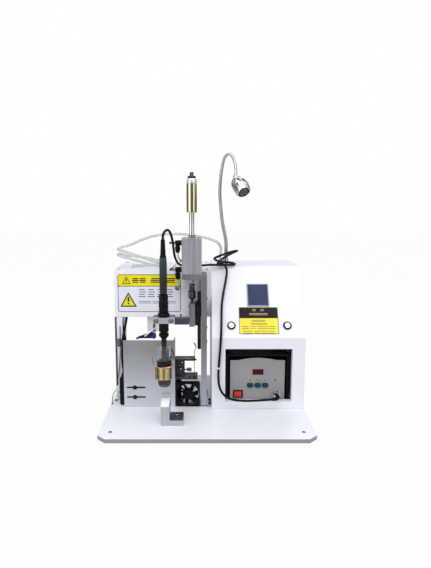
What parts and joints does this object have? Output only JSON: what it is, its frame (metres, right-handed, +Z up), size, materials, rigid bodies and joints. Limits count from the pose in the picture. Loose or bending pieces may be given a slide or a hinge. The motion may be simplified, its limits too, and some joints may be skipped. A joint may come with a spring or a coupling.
{
  "type": "spot soldering machine",
  "caption": "Bench machine: an air cylinder lowers a soldering iron through a tubular shroud to a work stop, beside a sloping control box with a station, a fan, a feeder and a lamp.",
  "frame": {"origin": "on the bench under the middle of the base plate, level with the undersides of the feet", "axes": "+Z up, +X to the operator's right, +Y away from the operator"},
  "size_m": [0.4, 0.35, 0.5402],
  "materials": {
    "white_paint": "satin powder coat",
    "rubber_feet": "moulded",
    "black_plastic": "moulded",
    "station_body": "textured dark case",
    "station_face": "light warm grey face",
    "station_keys": "dark teal",
    "rocker_red": "red",
    "nickel": "bright nickel",
    "counter_body": "light grey bezel with a blue liquid crystal screen",
    "supply_case": "plain sheet and casting",
    "circuit_board": "green board with dark parts",
    "brushed_aluminium": "machined, satin",
    "cylinder_body": "hard anodised",
    "polished_steel": "polished",
    "dark_steel": "blackened",
    "iron_grip": "dark teal and black",
    "violet_anodised": "dark violet anodised",
    "clear_glass": "clear",
    "brass": "polished",
    "brown_enamel": "dark brown",
    "grey_paint": "satin grey",
    "feeder_black": "black",
    "knob_black": "knurled",
    "lamp_neck_chrome": "ribbed gooseneck",
    "lamp_shade": "bright plated spinning",
    "black_lead": "smooth jacket",
    "clear_hose": "clear polyurethane"
  },
  "bodies": {
    "frame": {"base_plate": "white_paint", "box_shell": "white_paint", "box_rear_cover": "white_paint", "header_box": "white_paint", "header_leg": "white_paint", "foot_front_left": "rubber_feet", "foot_front_right": "rubber_feet", "foot_rear_left": "rubber_feet", "foot_rear_right": "rubber_feet", "mains_inlet": "black_plastic", "speed_controller_upper": "black_plastic", "speed_controller_lower": "black_plastic", "iron_plug": "black_plastic", "fan_frame": "black_plastic", "station_case": "station_body", "station_panel": "station_face", "tool_socket": "nickel", "counter_module": "counter_body", "power_supply": "supply_case", "solenoid_valve": "supply_case", "control_board": "circuit_board", "column_plate": "brushed_aluminium", "cylinder_plate": "brushed_aluminium", "fixture_block": "brushed_aluminium", "air_cylinder": "cylinder_body", "slide_rail": "dark_steel", "shroud_glass": "clear_glass", "shroud_sleeve": "brass", "shroud_holder": "brown_enamel", "shield_panel": "grey_paint", "feeder_block": "feeder_black", "feeder_motor": "feeder_black", "lamp_stand": "lamp_neck_chrome", "iron_lead_moving": "black_lead", "iron_lead_fixed": "black_lead", "motor_lead": "black_lead", "air_hose": "clear_hose", "air_hose_hank": "clear_hose"},
    "iron_carriage": {"piston_rod": "polished_steel", "floating_joint": "dark_steel", "slide_carriage": "dark_steel", "slide_plate": "brushed_aluminium", "iron_arm": "brushed_aluminium", "clamp_jaw": "brushed_aluminium", "iron_handle": "iron_grip", "iron_nut": "dark_steel", "iron_barrel": "dark_steel", "iron_tip": "polished_steel"},
    "stroke_sleeve": {"stroke_sleeve": "polished_steel"},
    "feed_arm": {"feed_arm": "violet_anodised"},
    "fan_rotor": {"fan_rotor": "black_plastic"},
    "power_rocker": {"power_rocker": "rocker_red"},
    "station_button_left": {"station_button_left": "station_keys"},
    "station_button_middle": {"station_button_middle": "station_keys"},
    "station_button_right": {"station_button_right": "station_keys"},
    "start_button": {"start_button": "nickel"},
    "stop_button": {"stop_button": "nickel"},
    "feeder_thumb_screw": {"feeder_thumb_screw": "knob_black"},
    "lamp_neck": {"lamp_neck": "lamp_neck_chrome"},
    "lamp_head": {"lamp_head": "lamp_shade"}
  },
  "joints": [
    {"name": "iron_slide", "type": "slide", "parent": "frame", "child": "iron_carriage", "axis": [0, 0, -1], "range_m": [0, 0.04], "deforming": ["iron_lead_moving"]},
    {"name": "stroke_sleeve_turn", "type": "hinge", "parent": "iron_carriage", "child": "stroke_sleeve", "pos_m": [-0.0295, -0.005, 0.45], "axis": [0, 0, 1], "range_deg": [-180, 180]},
    {"name": "feed_arm_swing", "type": "hinge", "parent": "iron_carriage", "child": "feed_arm", "pos_m": [-0.101, -0.084, 0.1818], "axis": [0, 1, 0], "range_deg": [-25, 20]},
    {"name": "fan_spin", "type": "hinge", "parent": "frame", "child": "fan_rotor", "pos_m": [-0.038, -0.0175, 0.0413], "axis": [0, 1, 0], "continuous": true},
    {"name": "power_switch", "type": "hinge", "parent": "frame", "child": "power_rocker", "pos_m": [0.0656, -0.017, 0.0417], "axis": [0, 0, -1], "range_deg": [0, 10]},
    {"name": "station_key_left", "type": "slide", "parent": "frame", "child": "station_button_left", "axis": [0, 1, 0], "range_m": [0, 0.0012], "stiffness_N_per_m": 400, "springref_m": -0.0005},
    {"name": "station_key_middle", "type": "slide", "parent": "frame", "child": "station_button_middle", "axis": [0, 1, 0], "range_m": [0, 0.0012], "stiffness_N_per_m": 400, "springref_m": -0.0005},
    {"name": "station_key_right", "type": "slide", "parent": "frame", "child": "station_button_right", "axis": [0, 1, 0], "range_m": [0, 0.0012], "stiffness_N_per_m": 400, "springref_m": -0.0005},
    {"name": "start_press", "type": "slide", "parent": "frame", "child": "start_button", "axis": [0, 0.8302, -0.5575], "range_m": [0, 0.0025], "stiffness_N_per_m": 600, "springref_m": -0.0005},
    {"name": "stop_press", "type": "slide", "parent": "frame", "child": "stop_button", "axis": [0, 0.8302, -0.5575], "range_m": [0, 0.0025], "stiffness_N_per_m": 600, "springref_m": -0.0005},
    {"name": "feeder_thumb_turn", "type": "hinge", "parent": "frame", "child": "feeder_thumb_screw", "pos_m": [-0.036, -0.012, 0.0917], "axis": [1, 0, 0], "range_deg": [-180, 180]},
    {"name": "lamp_bend", "type": "hinge", "parent": "frame", "child": "lamp_neck", "pos_m": [0.0301, 0.085, 0.446], "axis": [0, 1, 0], "range_deg": [-20, 20]},
    {"name": "lamp_tilt", "type": "hinge", "parent": "lamp_neck", "child": "lamp_head", "pos_m": [0.0621, 0.0625, 0.4883], "axis": [1, 0, 0], "range_deg": [-20, 20]}
  ]
}
